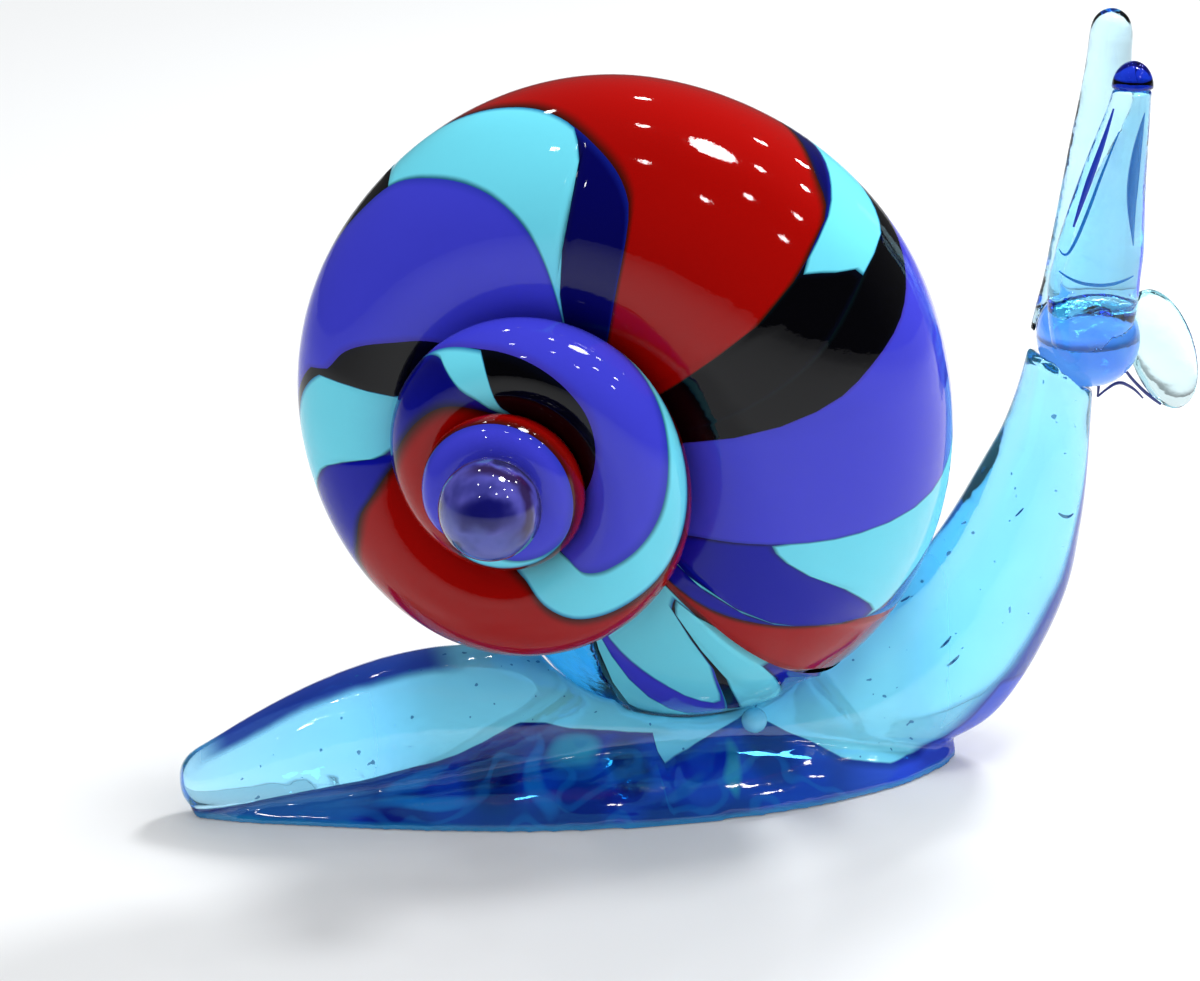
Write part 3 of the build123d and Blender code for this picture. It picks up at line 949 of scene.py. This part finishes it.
class SNAIL_OT_head(bpy.types.Operator):
    """Head ball, both feelers with the cobalt button, the lip and its drawn threads"""
    bl_idname = "snail.head"
    bl_label = "Head"

    def execute(self, context):
        s = context.scene.glass_sizes
        # each glass with its pale and its deep tint, the light it takes and the strength of its flow marks
        head = clear_glass("head_glass", (0.36, 0.50, 1.0), (0.18, 0.32, 0.98), body_loss(), 0.4)
        near = clear_glass("near_feeler_glass", (0.82, 0.94, 0.99), (0.68, 0.89, 0.99), body_loss(0.75), 0.3)
        far = clear_glass("far_feeler_glass", (0.88, 0.97, 1.0), (0.80, 0.95, 1.0), body_loss(0.6), 0.3)
        button = clear_glass("cobalt_button_glass", (0.05, 0.16, 0.62), (0.01, 0.04, 0.42), BUTTON_LOSS, 0.2)
        leaf = clear_glass("lip_leaf_glass", (0.84, 0.97, 0.99), (0.72, 0.93, 0.99), LIP_LOSS, 0.4, LIP_RIM)
        show("head_ball", ball("head"), [head], ["head"])
        show("near_feeler_rod", melted("near_feeler", s.feeler_step), [near], ["near_feeler"])
        show("far_feeler_rod", melted("far_feeler", s.feeler_step), [far], ["far_feeler"])
        show("feeler_button", melted("feeler_tip", s.button_step), [button], ["feeler_tip"])
        show("lip_leaf", melted("lip", s.lip_step), [leaf], ["lip"])
        cobalt = even_glass("cobalt_thread_glass", (0.02, 0.05, 0.45))
        sky = even_glass("sky_thread_glass", (0.04, 0.36, 0.90))
        smoke = even_glass("smoke_thread_glass", (0.05, 0.06, 0.22))
        show("near_feeler_cobalt_thread", threads("cobalt_thread", [COBALT_THREAD]), [cobalt])
        show("near_feeler_sky_threads", threads("sky_threads", SKY_THREADS), [sky])
        show("lip_threads", threads("lip_threads", LIP_THREADS), [smoke])
        show("lip_drop", threads("lip_drop", LIP_DROP), [sky])
        return {"FINISHED"}


# what each stripe bleeds into at its upper and its lower edge, how many fringes far, and its colour high up
STRIPE_EDGES = {
    "red": ((0.04, 0.004, 0.002), (0.03, 0.006, 0.002), 1.5),
    "cobalt": ((0.004, 0.004, 0.05), (0.004, 0.01, 0.2), 1.0, (0.001, 0.001, 0.09)),
    "aqua": ((0.01, 0.12, 0.20), (0.01, 0.18, 0.40), 0.6),
    "black": ((0.001, 0.006, 0.008), (0.001, 0.002, 0.008)),
    "purple": ((0.05, 0.04, 0.44), (0.03, 0.04, 0.48)),
}


class SNAIL_OT_shell(bpy.types.Operator):
    """Wound cane with its twisted stripes, the bead on its apex and the seal of its mouth"""
    bl_idname = "snail.shell"
    bl_label = "Shell"

    def execute(self, context):
        s, c = context.scene.glass_sizes, context.scene.glass_colours
        coats = [
            stripe_glass(f"{paint}_stripe_glass", getattr(c, paint), *STRIPE_EDGES[paint]) for paint in PAINTS
        ]
        show("striped_shell_cane", cane_mesh(s.turns_columns), coats, ["shell_cane"])
        show("apex_ball", ball("apex_bead"), [bead_glass()], ["apex_bead"])
        seal = clear_glass("mouth_seal_glass", (0.75, 0.95, 1.0), (0.45, 0.85, 0.98), body_loss(), 0.3)
        show("mouth_seal_dome", melted("mouth_seal", s.melt_step), [seal], ["mouth_seal"])
        return {"FINISHED"}


# stage, in millimetres: the middle that the lamps look at, the way to each from there, its distance and width
LAMP_MIDDLE = Vector((5.0, -10.5, 38.0))
BOX_WAY, BOX_REACH, BOX_WIDTH = (0.35, -0.05, 0.94), 300, 66
BACK_WAY, BACK_REACH, BACK_WIDTH = (0.58, 0.55, 0.60), 300, 60
RING_REACH, RING_WIDTH = 400, 21
RING_WAYS = [
    (-0.213, 0.486, 0.848), (-0.445, -0.142, 0.884), (-0.51, -0.568, 0.646), (0.212, 0.579, 0.787),
    (0.09, 0.089, 0.992), (-0.085, -0.417, 0.905), (0.579, 0.39, 0.716), (0.558, -0.036, 0.829),
    (0.698, 0.43, 0.573), (0.737, 0.092, 0.67), (0.654, -0.336, 0.677), (0.489, -0.647, 0.585),
    (0.09, -0.662, 0.744), (0.4, -0.462, 0.791),
]
CAMERA_PLACE = Vector((-35.59, -172.45, 74.72))
CAMERA_AIM = Vector((0.0, -5.0, 19.1))
SENSOR_WIDTH = 36.0
CLIP_START = 10.0


def round_lamp(name, way, reach, width, power):
    """A round area lamp that looks at the lamps' middle; its power is in watts."""
    light = bpy.data.lights.new(name, "AREA")
    light.shape = "DISK"
    light.size = width * MM
    light.energy = power
    holder = bpy.data.objects.new(name, light)
    bpy.context.scene.collection.objects.link(holder)
    way = Vector(way).normalized()
    holder.location = LAMP_MIDDLE * MM + way * reach * MM
    holder.rotation_euler = way.to_track_quat("Z", "Y").to_euler()
    return holder


def table_finish():
    """Matt pale table that turns white with distance and keeps the shadow near the object; near the object it
    glows for rays through the glass, a painted pool of light for the light that the glass lets through.
    """
    material = bpy.data.materials.new("white_table")
    recipe = Recipe(material)
    grown, (x, y, _) = recipe.place()
    seen = recipe.rays("Camera")
    through = recipe.rays("Transmission")
    reach = (x * x + y * y) ** 0.5
    far = reach.fade(110.0, 700.0)
    near = 1 - reach.fade(30.0, 110.0)
    tone = recipe.mix(recipe.cloud(grown, 60.0, 2.0), (0.74, 0.75, 0.77), (0.77, 0.78, 0.79))
    tone = recipe.mix(seen.most(through), tone, (0.62, 0.635, 0.645))
    matt = recipe.add("ShaderNodeBsdfPrincipled", None, **{"Base Color": tone, "Roughness": 0.6})
    # painted light: near the object the table glows for rays through the glass
    strength = seen * (0.15 + far * 0.64) + through * near * 0.66
    glow = recipe.add("ShaderNodeEmission", None, Color=WHITE, Strength=strength)
    recipe.finish(recipe.add("ShaderNodeAddShader", None, matt, glow))
    return material


def studio_air():
    """White world to the eye and through glass, soft on matt surfaces, and dark in what shines."""
    world = bpy.data.worlds.new("studio_air")
    recipe = Recipe(world)
    behind = recipe.parts(recipe.add("ShaderNodeTexCoord", out="Generated"))[1].fade(-0.5, 0.1)
    strength = recipe.rays("Camera").most(recipe.rays("Transmission") * (0.58 + behind * 0.36))
    strength = strength.most(recipe.rays("Diffuse") * 0.60).most(0.04 + behind * 0.04)
    glow = recipe.add("ShaderNodeBackground", None, Color=WHITE, Strength=strength)
    recipe.finish(glow, "ShaderNodeOutputWorld")
    return world


class SNAIL_OT_stage(bpy.types.Operator):
    """Pale table, soft box, ring of small lamps and the camera"""
    bl_idname = "snail.stage"
    bl_label = "Stage"

    def execute(self, context):
        studio = context.scene.studio_sizes
        scene = context.scene
        scene.view_settings.view_transform = "Standard"
        made = bmesh.new()
        bmesh.ops.create_grid(made, x_segments=1, y_segments=1, size=studio.table_reach)
        bmesh.ops.translate(made, verts=made.verts, vec=(0, 0, -studio.table_gap))
        mesh = bpy.data.meshes.new("table")
        made.to_mesh(mesh)
        made.free()
        mesh.materials.append(table_finish())
        table = bpy.data.objects.new("table", mesh)
        scene.collection.objects.link(table)
        scene.world = studio_air()

        round_lamp("soft_box", BOX_WAY, BOX_REACH, BOX_WIDTH, studio.box_power)
        back = round_lamp("back_lamp", BACK_WAY, BACK_REACH, BACK_WIDTH, studio.back_power)
        back.visible_glossy = back.visible_transmission = False
        for number, way in enumerate(RING_WAYS):
            round_lamp(f"ring_lamp_{number + 1}", way, RING_REACH, RING_WIDTH, studio.lamp_power)

        camera = bpy.data.objects.new("camera", bpy.data.cameras.new("camera"))
        scene.collection.objects.link(camera)
        camera.data.lens = studio.lens
        camera.data.sensor_width = SENSOR_WIDTH
        camera.data.clip_start = CLIP_START * MM
        camera.location = CAMERA_PLACE * MM
        away = (CAMERA_PLACE - CAMERA_AIM).normalized()
        camera.rotation_euler = away.to_track_quat("Z", "Y").to_euler()
        scene.camera = camera
        return {"FINISHED"}


GROUPS = ("snail.stage", "snail.body", "snail.head", "snail.shell")


class SNAIL_PT_panel(bpy.types.Panel):
    """Lists the snail's groups of pieces"""
    bl_idname = "SNAIL_PT_panel"
    bl_label = "Glass snail"
    bl_space_type = "VIEW_3D"
    bl_region_type = "UI"
    bl_category = "Glass snail"

    def draw(self, context):
        for name in GROUPS:
            self.layout.operator(name)


CLASSES = (
    GlassSizes, GlassColours, StudioSizes,
    SNAIL_OT_body, SNAIL_OT_head, SNAIL_OT_shell, SNAIL_OT_stage,
    SNAIL_PT_panel,
)


def register():
    for item in CLASSES:
        bpy.utils.register_class(item)
    bpy.types.Scene.glass_sizes = bpy.props.PointerProperty(type=GlassSizes)
    bpy.types.Scene.glass_colours = bpy.props.PointerProperty(type=GlassColours)
    bpy.types.Scene.studio_sizes = bpy.props.PointerProperty(type=StudioSizes)


def unregister():
    del bpy.types.Scene.studio_sizes
    del bpy.types.Scene.glass_colours
    del bpy.types.Scene.glass_sizes
    for item in reversed(CLASSES):
        bpy.utils.unregister_class(item)


def main():
    register()
    bpy.ops.snail.stage()
    bpy.ops.snail.body()
    bpy.ops.snail.head()
    bpy.ops.snail.shell()


if __name__ == "__main__":
    main()
